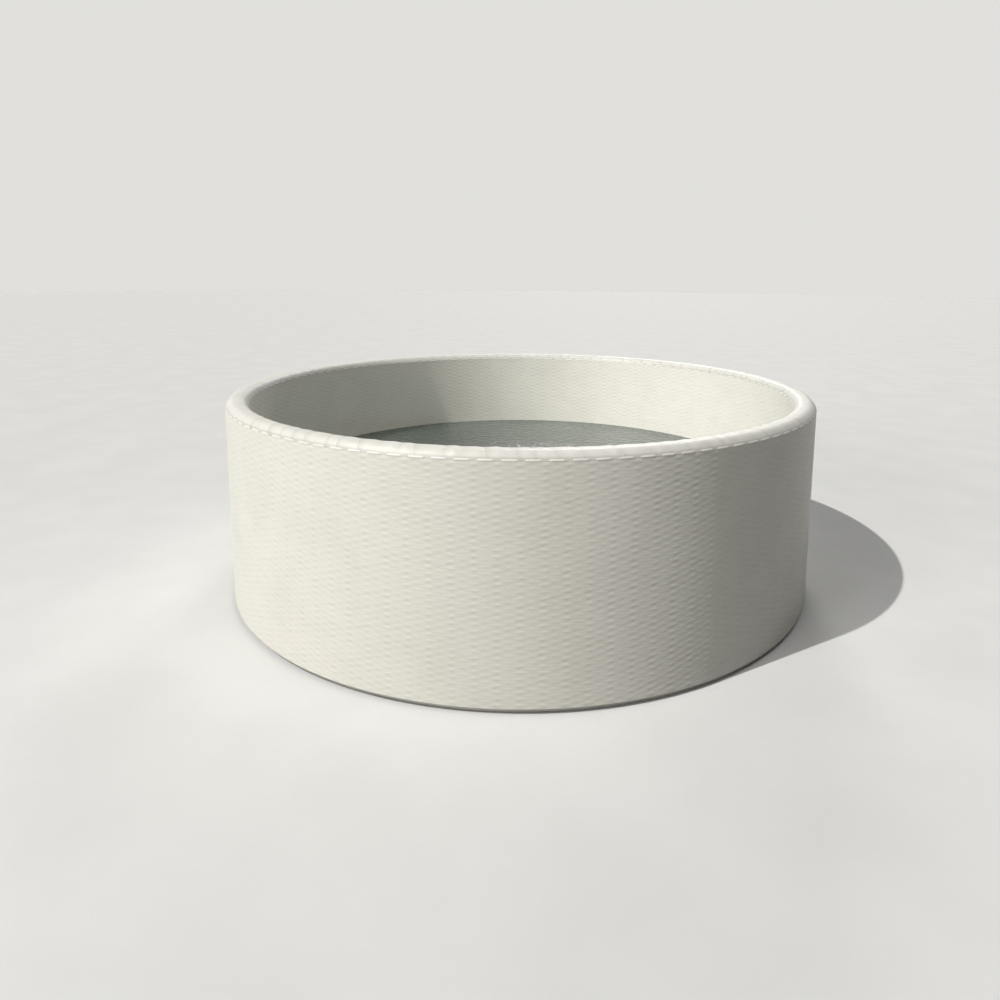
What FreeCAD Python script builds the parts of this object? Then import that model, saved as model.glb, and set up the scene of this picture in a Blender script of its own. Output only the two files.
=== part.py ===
import FreeCAD, Part

import math
import os

from FreeCAD import Vector

# A round flotation pool with an air-filled drop-stitch wall, standing on its floor sheet.
# Millimetres. The origin is the middle of the footprint on the floor, +Z is up,
# and the water fittings and the inflation valve are on the +Y side.

# Wall
pool_diameter = 2300.0
wall_height = 740.0
wall_thickness = 80.0
skin_thickness = 1.2

# Rim band and bottom band, each a padded edge from seam to seam
crown_radius = 26.0
crown_turn = 48.0
seam_drop = 17.0
foot_bevel = 20.0

# Closing seam of the wall
tape_width = 60.0
tape_thickness = 0.8
web_thickness = 3.0
seam_azimuth = 90.0

# Drop-stitch threads, a spaced sample of the bundles that hold the two skins together
thread_columns = 16
thread_rows = 2
thread_width = 3.0

# Floor
ground_sheet_thickness = 1.2
pad_thickness = 25.0
pad_clearance = 0.3
liner_thickness = 1.0

# Water ports
suction_azimuth = 120.0
suction_height = 120.0
return_azimuth = 60.0
return_height = 250.0
port_bore_radius = 19.0
port_tube_radius = 25.0
tube_clearance = 0.3
sleeve_wall = 6.0
flange_radius = 48.0
flange_thickness = 8.0
gasket_thickness = 2.0
lock_nut_thickness = 12.0
lock_nut_across_flats = 76.0

# Slide gate valves
socket_depth = 20.0
hub_radius = 31.0
nut_gap = 1.0
gate_thickness = 4.0
gate_side_clearance = 0.3
gate_overlap = 4.0
gate_strip_width = 16.0
gate_lift = 44.0
strip_clearance = 0.3
housing_wall = 5.0
housing_side_wall = 7.0
bonnet_thickness = 6.0
bonnet_overhang = 4.0
handle_clearance = 2.0
handle_length = 84.0
handle_height = 14.0
handle_end_height = 8.0
handle_crown = 30.0
handle_width = 16.0

# Hose tails
spigot_radius = 22.0
tail_bore_radius = 16.0
collar_radius = 27.0
collar_thickness = 4.0
hose_radius = 19.0
hose_length = 50.0

# Strainer and nozzle, both on the ports' inner flanges
cap_clearance = 0.3
cap_wall = 3.0
cap_grip = 6.0
strainer_stand_off = 10.0
strainer_slots = 10
strainer_slot_width = 4.0
strainer_slot_start = 12.0
strainer_slot_margin = 8.0
nozzle_face_thickness = 12.0
nozzle_bore_radius = 9.0
nozzle_tilt = 40.0

# Inflation valve
valve_azimuth = 75.0
valve_drop = 123.0
valve_barrel_radius = 22.0
valve_barrel_length = 40.0
valve_bore_radius = 17.0
valve_flange_radius = 33.0
valve_flange_thickness = 4.0
valve_collar_radius = 26.0
valve_collar_height = 8.0
valve_seat_radius = 12.0
valve_seat_thickness = 3.0
valve_nut_thickness = 8.0
valve_nut_across_flats = 62.0
bridge_thickness = 3.0
bridge_depth = 26.0
bridge_width = 12.0
stem_radius = 3.0
stem_clearance = 0.1
button_radius = 6.5
button_thickness = 3.0
button_drop = 6.0
poppet_radius = 15.0
poppet_thickness = 3.0
poppet_gap = 0.1
poppet_travel = 8.0
spring_clearance = 0.3
spring_radius = 5.2
spring_wall = 1.2

# Inflation valve cap, hinged below the collar
lid_clearance = 0.4
lid_wall = 2.5
lid_skirt = 5.8
lid_hinge_offset = 35.0
knuckle_radius = 3.2
knuckle_width = 11.4
knuckle_clearance = 0.3
ear_width = 4.0
hinge_pin_radius = 1.5
pin_clearance = 0.05
tongue_thickness = 2.5

# Overrun of cutting tools past the faces they cut
overrun = 5.0

outer_radius = pool_diameter / 2
inner_radius = outer_radius - wall_thickness
seam_low = ground_sheet_thickness + seam_drop
seam_high = wall_height - seam_drop
valve_height = seam_high - valve_drop
chamber_in = inner_radius + skin_thickness
chamber_out = outer_radius - skin_thickness
crown_angle = math.radians(crown_turn)
crown_slope = seam_drop - crown_radius * (1 - math.cos(crown_angle))
crown_bevel = crown_slope / math.tan(crown_angle)
crown_reach = crown_bevel + crown_radius * math.sin(crown_angle)

x_axis = Vector(1, 0, 0)
y_axis = Vector(0, 1, 0)
z_axis = Vector(0, 0, 1)
middle = Vector(0, 0, 0)


def turned(start, *steps):
    """A ring turned about the pool's axis from a section in radius and height.

    A step is the next corner, or a point on an arc followed by the arc's end.
    """
    at = Vector(start[0], 0, start[1])
    edges = []
    for step in steps + ((start,),):
        points = [Vector(radius, 0, height) for radius, height in step]
        if len(points) == 1:
            edges.append(Part.LineSegment(at, points[0]).toShape())
        else:
            edges.append(Part.Arc(at, points[0], points[1]).toShape())
        at = points[-1]
    return Part.Face(Part.Wire(edges)).revolve(middle, z_axis, 360)


def upright_cylinder(radius, low, high):
    """A cylinder on the pool's axis."""
    return Part.makeCylinder(radius, high - low, Vector(0, 0, low))


def spindle(radius, start, stop, height):
    """A cylinder along a fitting's own axis, from one distance from the pool's axis to another."""
    return Part.makeCylinder(radius, stop - start, Vector(start, 0, height), x_axis)


def pipe(bore, radius, start, stop, height):
    """A tube along a fitting's own axis."""
    return spindle(radius, start, stop, height).cut(spindle(bore, start, stop, height))


def hexagon_nut(across_flats, bore, start, stop, height):
    """A six-sided nut along a fitting's own axis."""
    corner = across_flats / math.sqrt(3)
    turns = [math.radians(60 * side) for side in range(6)]
    corners = [Vector(start, corner * math.cos(turn), height + corner * math.sin(turn)) for turn in turns]
    prism = Part.Face(Part.makePolygon(corners + corners[:1])).extrude(x_axis * (stop - start))
    return prism.cut(spindle(bore, start, stop, height))


def swung(shape, azimuth):
    """Turned from the +X side round the pool to its own place."""
    copy = shape.copy()
    copy.rotate(middle, z_axis, azimuth)
    return copy


def write(name, *solids):
    """One sub-part as a file."""
    shape = solids[0] if len(solids) == 1 else Part.makeCompound(list(solids))
    shape.exportStep(os.path.join("parts", name + ".step"))


os.makedirs("parts", exist_ok=True)

ports = [(suction_azimuth, suction_height), (return_azimuth, return_height)]
sleeve_bore = port_tube_radius + tube_clearance
valve_hole = swung(
    spindle(valve_barrel_radius, inner_radius + wall_thickness / 2, outer_radius + overrun, valve_height),
    valve_azimuth,
)
port_holes = [
    swung(spindle(sleeve_bore, inner_radius - overrun, outer_radius + overrun, height), azimuth)
    for azimuth, height in ports
]

# Wall skins
outer_skin = upright_cylinder(outer_radius, seam_low, seam_high)
outer_skin = outer_skin.cut(upright_cylinder(outer_radius - skin_thickness, seam_low, seam_high))
write("outer_wall_skin", outer_skin.cut(port_holes + [valve_hole]))

inner_skin = upright_cylinder(inner_radius + skin_thickness, seam_low, seam_high)
inner_skin = inner_skin.cut(upright_cylinder(inner_radius, seam_low, seam_high))
write("inner_wall_skin", inner_skin.cut(port_holes))

# Rim band: a padded crown, bevelled from the seam into a round at both edges, flat between
crown_out = outer_radius - crown_reach
crown_in = inner_radius + crown_reach
half_side = crown_radius * math.sin(crown_angle / 2)
half_drop = crown_radius * (1 - math.cos(crown_angle / 2))
write("rim_band", turned(
    (outer_radius, seam_high),
    ((outer_radius - crown_bevel, seam_high + crown_slope),),
    ((crown_out + half_side, wall_height - half_drop), (crown_out, wall_height)),
    ((crown_in, wall_height),),
    (
        (crown_in - half_side, wall_height - half_drop),
        (inner_radius + crown_bevel, seam_high + crown_slope),
    ),
    ((inner_radius, seam_high),),
))

# Bottom band: bevelled from the seam to the flat it stands on
write("bottom_band", turned(
    (outer_radius, seam_low),
    ((outer_radius - foot_bevel, ground_sheet_thickness),),
    ((inner_radius + foot_bevel, ground_sheet_thickness),),
    ((inner_radius, seam_low),),
))

# Closing seam: the two ends of the wall panel meet on a web and are taped over outside
tape_blank = Part.makeBox(
    wall_thickness, tape_width, seam_high - seam_low,
    Vector(outer_radius - wall_thickness / 2, -tape_width / 2, seam_low),
)
tape = tape_blank.common(upright_cylinder(outer_radius + tape_thickness, seam_low, seam_high))
tape = tape.cut(upright_cylinder(outer_radius, seam_low, seam_high))
write("wall_closing_tape", swung(tape, seam_azimuth))

chamber = upright_cylinder(chamber_out, seam_low, seam_high)
chamber = chamber.cut(upright_cylinder(chamber_in, seam_low, seam_high))
web = Part.makeBox(
    wall_thickness, web_thickness, seam_high - seam_low, Vector(inner_radius, -web_thickness / 2, seam_low)
)
write("wall_closing_web", swung(web.common(chamber), seam_azimuth))

# Drop-stitch threads
threads = []
thread_rise = (seam_high - seam_low) / (thread_rows + 1)
thread_stop = math.sqrt(chamber_out**2 - (thread_width / 2) ** 2)
thread = Part.makeBox(
    thread_stop - chamber_in, thread_width, thread_width,
    Vector(chamber_in, -thread_width / 2, -thread_width / 2),
)
for row in range(thread_rows):
    raised = thread.copy()
    raised.translate(Vector(0, 0, seam_low + thread_rise * (row + 1)))
    for column in range(thread_columns):
        threads.append(swung(raised, (column + 1 / 2) * 360 / thread_columns))
write("drop_stitch_threads", *threads)

# Floor: ground sheet, foam pad and the liner that is welded to the inner skin
write("ground_sheet", upright_cylinder(outer_radius - foot_bevel, 0, ground_sheet_thickness))
pad_top = ground_sheet_thickness + pad_thickness
write("insulation_pad", turned(
    (0, ground_sheet_thickness),
    ((inner_radius - pad_clearance, ground_sheet_thickness),),
    ((inner_radius - pad_clearance, pad_top),),
    ((0, pad_top),),
))
write("floor_liner", upright_cylinder(inner_radius, pad_top, pad_top + liner_thickness))

# Water ports: places along a port's own axis, counted from the pool's axis
flange_back = math.sqrt(inner_radius**2 - flange_radius**2) - gasket_thickness
flange_front = flange_back - flange_thickness
body_start = outer_radius + lock_nut_thickness + nut_gap
socket_stop = body_start + socket_depth
slot_start = socket_stop + housing_wall
slot_stop = slot_start + gate_thickness + 2 * gate_side_clearance
outlet_start = slot_stop + housing_wall
body_stop = outlet_start + socket_depth
tail_stop = body_stop + collar_thickness + hose_length
gate_radius = port_bore_radius + gate_overlap
slot_radius = gate_radius + gate_side_clearance
housing_half = slot_radius + housing_side_wall
gate_top = gate_radius
housing_top = gate_top + gate_lift + gate_side_clearance
bonnet_top = housing_top + bonnet_thickness
gate_middle = (slot_start + slot_stop) / 2


def tongue(radius, start, stop, height, top):
    """A plate round at its foot and straight above, across a port's axis."""
    foot_part = spindle(radius, start, stop, height)
    straight = Part.makeBox(stop - start, 2 * radius, top, Vector(start, -radius, height))
    return foot_part.fuse(straight).removeSplitter()


def wall_sleeve(height):
    """A tube bonded between the skins, so that the port doesn't open the air chamber."""
    radius = sleeve_bore + sleeve_wall
    return pipe(sleeve_bore, radius, chamber_in, math.sqrt(chamber_out**2 - radius**2), height)


def gasket(height):
    """A rubber ring behind the flat flange."""
    return pipe(sleeve_bore, flange_radius, flange_back, flange_back + gasket_thickness, height)


def bulkhead(height):
    """The flanged tube that passes through the wall."""
    flange = spindle(flange_radius, flange_front, flange_back, height)
    tube = spindle(port_tube_radius, flange_front, socket_stop, height)
    bore = spindle(port_bore_radius, flange_front, socket_stop, height)
    return flange.fuse(tube).removeSplitter().cut(bore)


def gate_valve_body(height):
    """Two hubs on a flat housing that is open at the top for the gate."""
    hubs = spindle(hub_radius, body_start, body_stop, height)
    housing = tongue(housing_half, socket_stop, outlet_start, height, housing_top)
    slot = tongue(slot_radius, slot_start, slot_stop, height, housing_top + overrun)
    inlet = spindle(port_tube_radius, body_start, socket_stop, height)
    outlet = spindle(spigot_radius, outlet_start, body_stop, height)
    bore = spindle(port_bore_radius, body_start, body_stop, height)
    return hubs.fuse(housing).removeSplitter().cut([slot, inlet, outlet, bore])


def bonnet(height):
    """The plate that closes the housing, with the slot for the gate's strip."""
    plate = Part.makeBox(
        outlet_start - socket_stop + 2 * bonnet_overhang,
        2 * (housing_half + bonnet_overhang),
        bonnet_thickness,
        Vector(socket_stop - bonnet_overhang, -housing_half - bonnet_overhang, height + housing_top),
    )
    slot_width = gate_strip_width + 2 * strip_clearance
    return plate.cut(Part.makeBox(
        slot_stop - slot_start, slot_width, bonnet_thickness,
        Vector(slot_start, -slot_width / 2, height + housing_top),
    ))


def gate(height):
    """The plate that shuts the bore, with its strip up to the handle."""
    front = slot_start + gate_side_clearance
    plate = tongue(gate_radius, front, front + gate_thickness, height, gate_top)
    strip = Part.makeBox(
        gate_thickness, gate_strip_width, bonnet_top + handle_clearance - gate_top,
        Vector(front, -gate_strip_width / 2, height + gate_top),
    )
    return plate.fuse(strip).removeSplitter()


def gate_handle(height):
    """A T-bar on the rod's end, thinner towards its two ends."""
    low = height + bonnet_top + handle_clearance
    half = handle_length / 2
    outline = [
        Vector(gate_middle - handle_width / 2, -half, low),
        Vector(gate_middle - handle_width / 2, half, low),
        Vector(gate_middle - handle_width / 2, half, low + handle_end_height),
        Vector(gate_middle - handle_width / 2, handle_crown / 2, low + handle_height),
        Vector(gate_middle - handle_width / 2, -handle_crown / 2, low + handle_height),
        Vector(gate_middle - handle_width / 2, -half, low + handle_end_height),
    ]
    return Part.Face(Part.makePolygon(outline + outline[:1])).extrude(x_axis * handle_width)


def hose_tail(height):
    """A spigot in the valve's outlet, a collar against it and a plain end for the hose."""
    spigot = spindle(spigot_radius, outlet_start, body_stop, height)
    collar = spindle(collar_radius, body_stop, body_stop + collar_thickness, height)
    end = spindle(hose_radius, body_stop, tail_stop, height)
    bore = spindle(tail_bore_radius, outlet_start, tail_stop, height)
    return spigot.fuse([collar, end]).cut(bore).removeSplitter()


def each_port(make):
    """The same fitting at both ports."""
    return [swung(make(height), azimuth) for azimuth, height in ports]


write("port_wall_sleeves", *each_port(wall_sleeve))
write("port_gaskets", *each_port(gasket))
write("port_bulkheads", *each_port(bulkhead))
write("port_lock_nuts", *each_port(lambda height: hexagon_nut(
    lock_nut_across_flats, port_tube_radius, outer_radius, outer_radius + lock_nut_thickness, height
)))
write("gate_valve_bodies", *each_port(gate_valve_body))
write("gate_valve_bonnets", *each_port(bonnet))
write("hose_tails", *each_port(hose_tail))
write("suction_gate", swung(gate(suction_height), suction_azimuth))
write("suction_gate_handle", swung(gate_handle(suction_height), suction_azimuth))
write("return_gate", swung(gate(return_height), return_azimuth))
write("return_gate_handle", swung(gate_handle(return_height), return_azimuth))

# Suction strainer: a slotted cap that twists onto the inner flange
cap_bore = flange_radius + cap_clearance
cap_radius = cap_bore + cap_wall
strainer_face = flange_front - strainer_stand_off
strainer = spindle(cap_radius, strainer_face - cap_wall, flange_front + cap_grip, suction_height)
strainer = strainer.cut(spindle(cap_bore, strainer_face, flange_front + cap_grip, suction_height))
slots = []
for index in range(strainer_slots):
    slot = Part.makeBox(
        cap_wall + 2 * overrun,
        cap_bore - strainer_slot_margin - strainer_slot_start,
        strainer_slot_width,
        Vector(
            strainer_face - cap_wall - overrun,
            strainer_slot_start,
            suction_height - strainer_slot_width / 2,
        ),
    )
    slot.rotate(Vector(0, 0, suction_height), x_axis, 360 * index / strainer_slots)
    slots.append(slot)
write("suction_strainer", swung(strainer.cut(slots), suction_azimuth))

# Return nozzle: a cap with a slanted outlet that is aimed by turning it
nozzle_face = flange_front - cap_clearance
nozzle = spindle(cap_radius, nozzle_face - nozzle_face_thickness, flange_front + cap_grip, return_height)
nozzle = nozzle.cut(spindle(cap_bore, nozzle_face, flange_front + cap_grip, return_height))
outlet_way = Vector(math.cos(math.radians(nozzle_tilt)), 0, math.sin(math.radians(nozzle_tilt)))
outlet_reach = nozzle_face_thickness + nozzle_bore_radius
outlet_middle = Vector(nozzle_face - nozzle_face_thickness / 2, 0, return_height)
nozzle = nozzle.cut(Part.makeCylinder(
    nozzle_bore_radius, 2 * outlet_reach, outlet_middle - outlet_way * outlet_reach, outlet_way
))
write("return_nozzle", swung(nozzle, return_azimuth))

# Inflation valve: a housing through the outer skin, held by a nut inside the air chamber
flange_face = outer_radius + valve_flange_thickness
collar_face = flange_face + valve_collar_height
barrel_end = outer_radius - valve_barrel_length
hinge_level = flange_face + knuckle_radius + knuckle_clearance
hinge_height = valve_height - lid_hinge_offset
ear_inside = knuckle_width / 2 + knuckle_clearance

housing = spindle(valve_flange_radius, outer_radius, flange_face, valve_height)
ear_half = ear_inside + ear_width
tab = Part.makeBox(
    valve_flange_thickness,
    2 * ear_half,
    lid_hinge_offset + knuckle_radius,
    Vector(outer_radius, -ear_half, hinge_height - knuckle_radius),
)
ears = []
for side in (-ear_half, ear_inside):
    post = Part.makeBox(
        hinge_level - outer_radius, ear_width, 2 * knuckle_radius,
        Vector(outer_radius, side, hinge_height - knuckle_radius),
    )
    boss = Part.makeCylinder(knuckle_radius, ear_width, Vector(hinge_level, side, hinge_height), y_axis)
    ears.append(post.fuse(boss))
housing = housing.fuse([tab] + ears + [
    spindle(valve_collar_radius, outer_radius, collar_face, valve_height),
    spindle(valve_barrel_radius, barrel_end, collar_face, valve_height),
]).removeSplitter()
housing = housing.cut([
    spindle(valve_bore_radius, barrel_end + valve_seat_thickness, collar_face, valve_height),
    spindle(valve_seat_radius, barrel_end, collar_face, valve_height),
    Part.makeCylinder(hinge_pin_radius, 2 * ear_half, Vector(hinge_level, -ear_half, hinge_height), y_axis),
])
bridge_start = outer_radius - bridge_depth
bridge_stop = bridge_start + bridge_thickness
bridge = Part.makeBox(
    bridge_thickness, 2 * valve_barrel_radius, bridge_width,
    Vector(bridge_start, -valve_barrel_radius, valve_height - bridge_width / 2),
)
bridge = bridge.common(spindle(valve_barrel_radius, bridge_start, bridge_stop, valve_height))
stem_hole = spindle(stem_radius + stem_clearance, bridge_start, bridge_stop, valve_height)
housing = housing.fuse(bridge).cut(stem_hole)
write("inflation_valve_body", swung(housing.removeSplitter(), valve_azimuth))

nut_corner = valve_nut_across_flats / math.sqrt(3)
nut_stop = math.sqrt(chamber_out**2 - nut_corner**2)
write("inflation_valve_nut", swung(hexagon_nut(
    valve_nut_across_flats, valve_barrel_radius, nut_stop - valve_nut_thickness, nut_stop, valve_height
), valve_azimuth))

# Poppet: a stem through the bridge, a button outside and the sealing disc behind the seat
button_start = collar_face - button_drop - button_thickness
disc_stop = barrel_end - poppet_gap
poppet = spindle(stem_radius, disc_stop, button_start, valve_height).fuse([
    spindle(button_radius, button_start, button_start + button_thickness, valve_height),
    spindle(poppet_radius, disc_stop - poppet_thickness, disc_stop, valve_height),
])
write("inflation_valve_poppet", swung(poppet.removeSplitter(), valve_azimuth))

# Return spring, shown at the length it is pressed to
spring_stop = button_start - poppet_travel - spring_clearance
write("inflation_valve_spring", swung(
    pipe(spring_radius - spring_wall, spring_radius, bridge_stop, spring_stop, valve_height), valve_azimuth
))

# Cap with its knuckle between the housing's ears
lid_bore = valve_collar_radius + lid_clearance
lid_inside = collar_face + knuckle_clearance
lid_low = lid_inside - lid_skirt
lid_radius = lid_bore + lid_wall
lid = spindle(lid_radius, lid_low, lid_inside + lid_wall, valve_height)
tongue_low = hinge_level - tongue_thickness / 2
arm_box = Part.makeBox(
    tongue_thickness, knuckle_width, lid_hinge_offset,
    Vector(tongue_low, -knuckle_width / 2, hinge_height),
)
knuckle = Part.makeCylinder(
    knuckle_radius, knuckle_width, Vector(hinge_level, -knuckle_width / 2, hinge_height), y_axis
)
lid = lid.fuse([arm_box, knuckle]).removeSplitter()
lid = lid.cut([
    spindle(lid_bore, flange_face, lid_inside, valve_height),
    Part.makeCylinder(
        hinge_pin_radius + pin_clearance, 2 * knuckle_width,
        Vector(hinge_level, -knuckle_width, hinge_height), y_axis,
    ),
])
write("inflation_valve_cap", swung(lid, valve_azimuth))
hinge_pin = Part.makeCylinder(
    hinge_pin_radius, 2 * ear_half, Vector(hinge_level, -ear_half, hinge_height), y_axis
)
write("inflation_valve_hinge_pin", swung(hinge_pin, valve_azimuth))
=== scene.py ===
import math

import bmesh
import bpy
from mathutils import Matrix, Vector


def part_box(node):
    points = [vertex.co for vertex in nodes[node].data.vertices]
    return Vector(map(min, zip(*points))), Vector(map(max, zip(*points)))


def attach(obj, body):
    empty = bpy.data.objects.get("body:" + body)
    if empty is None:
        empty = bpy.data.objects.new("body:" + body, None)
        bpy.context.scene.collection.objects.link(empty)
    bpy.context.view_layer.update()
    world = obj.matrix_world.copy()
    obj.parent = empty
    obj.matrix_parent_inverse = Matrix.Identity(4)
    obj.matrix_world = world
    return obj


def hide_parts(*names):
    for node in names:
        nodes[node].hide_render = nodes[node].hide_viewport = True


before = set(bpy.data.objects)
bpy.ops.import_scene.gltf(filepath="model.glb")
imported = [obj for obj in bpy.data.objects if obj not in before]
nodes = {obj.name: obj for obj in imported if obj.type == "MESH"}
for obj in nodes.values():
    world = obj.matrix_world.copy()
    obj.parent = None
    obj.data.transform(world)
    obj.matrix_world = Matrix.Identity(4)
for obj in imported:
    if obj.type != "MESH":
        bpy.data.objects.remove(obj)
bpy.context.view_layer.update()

scene = bpy.context.scene


# Ground sheet: a disc of dark coated cloth that the whole pool stands on.
# It is cut to the flat under the wall, and its hem shows as a thin dark line round the foot, which serves
# in part as a painted shadow line.

def join(tree, value, socket):
    """Feed a socket from another socket or from a plain value."""
    if isinstance(value, bpy.types.NodeSocket):
        tree.links.new(value, socket)
    else:
        socket.default_value = value


def calc(tree, operation, *values):
    """One step of arithmetic, in a shader or in a shape tree."""
    node = tree.nodes.new("ShaderNodeMath")
    node.operation = operation
    for value, socket in zip(values, node.inputs):
        join(tree, value, socket)
    return node.outputs[0]


def fade(tree, value, start, stop, low=0.0, high=1.0):
    """A smooth passage from low to high as value goes from start to stop."""
    node = tree.nodes.new("ShaderNodeMapRange")
    node.interpolation_type = "SMOOTHSTEP"
    for given, socket in zip((value, start, stop, low, high), node.inputs):
        join(tree, given, socket)
    return node.outputs[0]


def noise(tree, place, scale, detail=3.0, roughness=0.5):
    """Soft random mottling."""
    node = tree.nodes.new("ShaderNodeTexNoise")
    node.inputs["Scale"].default_value = scale
    node.inputs["Detail"].default_value = detail
    node.inputs["Roughness"].default_value = roughness
    tree.links.new(place, node.inputs["Vector"])
    return node.outputs["Fac"]


def effect(name, inputs, outputs):
    """An empty shader group with its named sockets."""
    tree = bpy.data.node_groups.new(name, "ShaderNodeTree")
    for label, kind, value in inputs:
        socket = tree.interface.new_socket(label, in_out="INPUT", socket_type=kind)
        if value is not None:
            socket.default_value = value
    for label, kind in outputs:
        tree.interface.new_socket(label, in_out="OUTPUT", socket_type=kind)
    return tree, tree.nodes.new("NodeGroupInput").outputs, tree.nodes.new("NodeGroupOutput").inputs


def coated_cloth_effect():
    """The fine scrim and the faint cloudiness of polyester cloth under a plastic coat."""
    tree, given, out = effect(
        "coated_cloth",
        [("Place", "NodeSocketVector", None), ("Threads per metre", "NodeSocketFloat", 900.0)],
        [("Height", "NodeSocketFloat"), ("Cloud", "NodeSocketFloat"), ("Gloss", "NodeSocketFloat")],
    )
    split = tree.nodes.new("ShaderNodeSeparateXYZ")
    tree.links.new(given["Place"], split.inputs[0])
    turn = calc(tree, "MULTIPLY", given["Threads per metre"], 2 * math.pi)
    waves = [
        calc(tree, "SINE", calc(tree, "MULTIPLY", split.outputs[axis], turn)) for axis in range(3)
    ]
    scrim = calc(tree, "MULTIPLY", calc(tree, "MULTIPLY", waves[0], waves[1]), 0.35)
    scrim = calc(tree, "ADD", scrim, calc(tree, "MULTIPLY", waves[2], 0.3))
    grain = noise(tree, given["Place"], 420.0)
    cloud = noise(tree, given["Place"], 5.0, 4.0)
    join(tree, calc(tree, "ADD", scrim, grain), out["Height"])
    join(tree, cloud, out["Cloud"])
    join(tree, fade(tree, noise(tree, given["Place"], 60.0), 0.3, 0.7), out["Gloss"])
    return tree


coated_cloth = coated_cloth_effect()


def finish_of(name):
    """A new material with its shader, its group of effects and where it lies on the piece."""
    material = bpy.data.materials.new(name)
    material.use_nodes = True
    tree = material.node_tree
    shader = tree.nodes["Principled BSDF"]
    place = tree.nodes.new("ShaderNodeTexCoord").outputs["Object"]
    return material, tree, shader, place


def placed(tree, group, **values):
    """A group of effects in a material, with its own values."""
    node = tree.nodes.new("ShaderNodeGroup")
    node.node_tree = group
    for name, value in values.items():
        join(tree, value, node.inputs[name.replace("_", " ")])
    return node.outputs


def blended(tree, mask, first, second):
    """A colour between two, by a mask."""
    node = tree.nodes.new("ShaderNodeMix")
    node.data_type = "RGBA"
    join(tree, mask, node.inputs["Factor"])
    node.inputs["A"].default_value = (*first, 1.0)
    node.inputs["B"].default_value = (*second, 1.0)
    return node.outputs["Result"]


def coloured(tree, shader, mask, first, second):
    """Paint a shader with a colour between two, by a mask."""
    join(tree, blended(tree, mask, first, second), shader.inputs["Base Color"])


def dulled(tree, shader, mask, low, high):
    """Give a shader a roughness between two, by a mask."""
    join(tree, fade(tree, mask, 0.0, 1.0, low, high), shader.inputs["Roughness"])


def raised(tree, shader, height, distance, strength=1.0):
    """Relief from a height, as a bump in metres."""
    node = tree.nodes.new("ShaderNodeBump")
    node.inputs["Distance"].default_value = distance
    node.inputs["Strength"].default_value = strength
    join(tree, height, node.inputs["Height"])
    tree.links.new(node.outputs[0], shader.inputs["Normal"])


def cloth_finish(name, dark, light, roughness, depth=0.0003):
    """Coated cloth of one colour, slightly cloudy and slightly uneven in gloss."""
    material, tree, shader, place = finish_of(name)
    cloth = placed(tree, coated_cloth, Place=place)
    coloured(tree, shader, fade(tree, cloth["Cloud"], 0.35, 0.65), dark, light)
    dulled(tree, shader, cloth["Gloss"], roughness - 0.05, roughness + 0.05)
    raised(tree, shader, cloth["Height"], depth, 0.5)
    return material


def piece_of(name, bm, material, body="pool"):
    """A finished mesh as a piece that rides on its body."""
    mesh = bpy.data.meshes.new(name)
    bm.normal_update()
    bm.to_mesh(mesh)
    bm.free()
    for face in mesh.polygons:
        face.use_smooth = True
    mesh.set_sharp_from_angle(angle=math.radians(40))
    mesh.materials.append(material)
    piece = bpy.data.objects.new(name, mesh)
    scene.collection.objects.link(piece)
    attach(piece, body)
    return piece


def skinned(bm, rings, closed=True):
    """Faces from each ring of points to the next."""
    for here, there in zip(rings, rings[1:]):
        count = len(here)
        for index in range(count if closed else count - 1):
            after = (index + 1) % count
            bm.faces.new([here[index], there[index], there[after], here[after]])


def lathe(outline, steps, closed=True, shift=None):
    """A ring or disc turned about the pool's axis from points in radius and height."""
    bm = bmesh.new()
    rings = []
    for step in range(steps):
        angle = 2 * math.pi * step / steps
        ring = []
        for index, (radius, height) in enumerate(outline):
            out, rise = shift(radius, angle, index) if shift else (0.0, 0.0)
            reach = radius + out
            ring.append(bm.verts.new((reach * math.cos(angle), reach * math.sin(angle), height + rise)))
        rings.append(ring)
    skinned(bm, rings + rings[:1], closed)
    bmesh.ops.remove_doubles(bm, verts=bm.verts, dist=1e-6)
    bmesh.ops.recalc_face_normals(bm, faces=bm.faces)
    return bm


sheet_low, sheet_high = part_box("ground_sheet")
sheet_radius = sheet_high.x
sheet_thick = sheet_high.z - sheet_low.z
# The sheet's dark colour is partly its own and partly painted shadow under the foot.
ground_cloth = cloth_finish("ground_cloth", (0.035, 0.037, 0.039), (0.055, 0.057, 0.058), 0.6)
ground_sheet = piece_of("ground_sheet_cloth", lathe([
    (0.0, sheet_low.z),
    (sheet_radius - sheet_thick, sheet_low.z),
    (sheet_radius, sheet_low.z + sheet_thick / 2),
    (sheet_radius - sheet_thick, sheet_high.z),
    (0.0, sheet_high.z),
], 180), ground_cloth)
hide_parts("ground_sheet")


# Foam pad: closed-cell foam under the bather, loose inside the ring of the wall.
# Its top edge is eased, and its skin has the fine pores of cut foam.

pad_low, pad_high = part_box("insulation_pad")
pad_radius = pad_high.x
pad_edge = 0.004
foam, tree, shader, place = finish_of("closed_cell_foam")
pores = tree.nodes.new("ShaderNodeTexVoronoi")
pores.inputs["Scale"].default_value = 700.0
tree.links.new(place, pores.inputs["Vector"])
coloured(tree, shader, pores.outputs["Distance"], (0.05, 0.052, 0.055), (0.12, 0.123, 0.127))
shader.inputs["Roughness"].default_value = 0.85
raised(tree, shader, pores.outputs["Distance"], 0.0006)
pad = piece_of("foam_pad", lathe([
    (0.0, pad_low.z),
    (pad_radius - pad_edge, pad_low.z),
    (pad_radius, pad_low.z + pad_edge),
    (pad_radius, pad_high.z - pad_edge),
    (pad_radius - pad_edge, pad_high.z),
    (0.0, pad_high.z),
], 180), foam)
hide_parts("insulation_pad")


# Floor liner: smooth coated cloth over the pad, welded to the inner skin all round.
# The weld leaves a flat pressed ring near its edge.

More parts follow.
